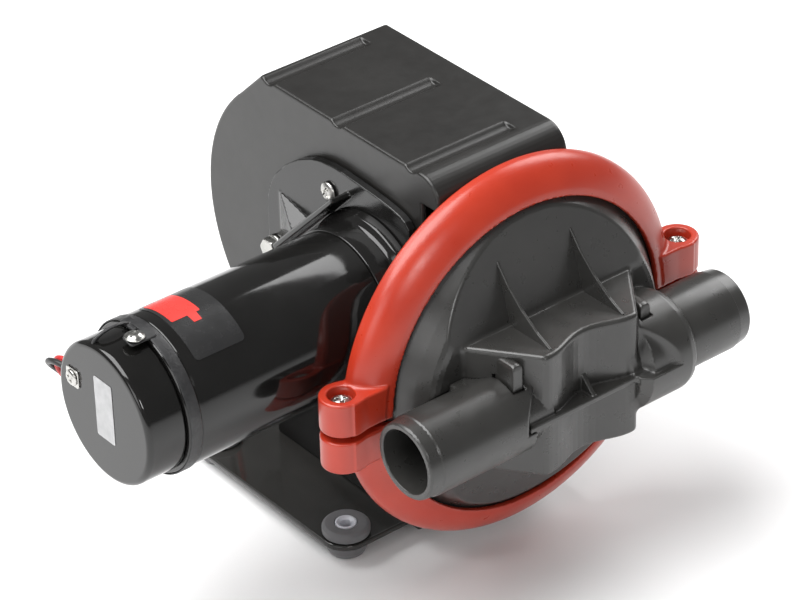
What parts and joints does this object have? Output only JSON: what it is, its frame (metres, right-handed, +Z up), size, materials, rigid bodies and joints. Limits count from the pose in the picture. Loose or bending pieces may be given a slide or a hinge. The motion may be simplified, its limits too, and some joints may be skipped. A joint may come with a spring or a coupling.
{
  "type": "bilge pump",
  "caption": "Belt-driven electric diaphragm bilge pump with in-line hose ports, a two-piece clamp ring, an enclosed belt drive and rubber-footed base plate.",
  "frame": {"origin": "centre of the footprint on the ground, under the four rubber feet", "axes": "+X along the hose ports and the motor shaft, away from the motor's end cap; -Y towards the front valve cover; +Z up"},
  "size_m": [0.2986, 0.2528, 0.2005],
  "materials": {
    "black_paint": "gloss black enamel",
    "black_plastic": "satin black moulded plastic",
    "charcoal_plastic": "charcoal glass-filled plastic, satin with glossy edges",
    "red_plastic": "satin red-orange moulded plastic",
    "black_rubber": "dull black rubber",
    "valve_rubber": "soft black rubber",
    "bright_steel": "bright zinc-plated steel",
    "cast_aluminium": "plain die casting",
    "laminated_iron": "laminated core",
    "copper": "copper bars",
    "ferrite": "dull ceramic magnet",
    "carbon": "carbon brush",
    "red_insulation": "red wire insulation",
    "black_insulation": "black wire insulation"
  },
  "bodies": {
    "root": {"base_plate": "black_paint", "motor_can": "black_paint", "motor_front_bell": "black_paint", "motor_rear_bell": "black_paint", "motor_end_cap": "black_paint", "brush_cover_band": "black_paint", "motor_bracket": "black_paint", "belt_cover": "black_plastic", "front_cover": "charcoal_plastic", "inlet_port": "charcoal_plastic", "outlet_port": "charcoal_plastic", "inlet_lock": "charcoal_plastic", "outlet_lock": "charcoal_plastic", "clamp_ring_upper": "red_plastic", "clamp_ring_lower": "red_plastic", "foot_front_left": "black_rubber", "foot_front_right": "black_rubber", "foot_rear_left": "black_rubber", "foot_rear_right": "black_rubber", "diaphragm": "black_rubber", "drive_belt": "black_rubber", "inlet_valve": "valve_rubber", "outlet_valve": "valve_rubber", "foot_sleeve_front_left": "bright_steel", "foot_sleeve_front_right": "bright_steel", "foot_sleeve_rear_left": "bright_steel", "foot_sleeve_rear_right": "bright_steel", "clamp_screw_left": "bright_steel", "clamp_screw_right": "bright_steel", "clamp_nut_left": "bright_steel", "clamp_nut_right": "bright_steel", "motor_bracket_screw_front": "bright_steel", "motor_bracket_screw_rear": "bright_steel", "pump_body_screw_left": "bright_steel", "pump_body_screw_right": "bright_steel", "cover_screw": "bright_steel", "bracket_bolt": "bright_steel", "end_cap_screw": "bright_steel", "motor_bearing_front": "bright_steel", "motor_bearing_rear": "bright_steel", "crank_bearing_left": "bright_steel", "crank_bearing_right": "bright_steel", "pump_body": "cast_aluminium", "magnet_upper": "ferrite", "magnet_lower": "ferrite", "brush_upper": "carbon", "brush_lower": "carbon", "lead_red": "red_insulation", "lead_black": "black_insulation"},
    "crank": {"crankshaft": "bright_steel", "eccentric": "bright_steel", "driven_pulley": "cast_aluminium"},
    "rotor": {"motor_shaft": "bright_steel", "armature_core": "laminated_iron", "commutator": "copper", "drive_pulley": "bright_steel"},
    "rod": {"connecting_rod": "cast_aluminium", "rod_bearing": "bright_steel", "diaphragm_plate": "bright_steel", "diaphragm_screw": "bright_steel"}
  },
  "joints": [
    {"name": "crank_spin", "type": "hinge", "parent": "root", "child": "crank", "pos_m": [0.04095, 0.04875, 0.106], "axis": [1, 0, 0], "continuous": true},
    {"name": "motor_spin", "type": "hinge", "parent": "root", "child": "rotor", "pos_m": [0.04095, -0.00925, 0.128], "axis": [1, 0, 0], "continuous": true},
    {"name": "rod_swing", "type": "hinge", "parent": "crank", "child": "rod", "pos_m": [0.04095, 0.05375, 0.106], "axis": [1, 0, 0], "continuous": true, "deforming": ["diaphragm"]}
  ],
  "couplings": [
    {"joint": "motor_spin", "follows": "crank_spin", "ratio": 5},
    {"joint": "rod_swing", "follows": "crank_spin", "ratio": -1}
  ]
}
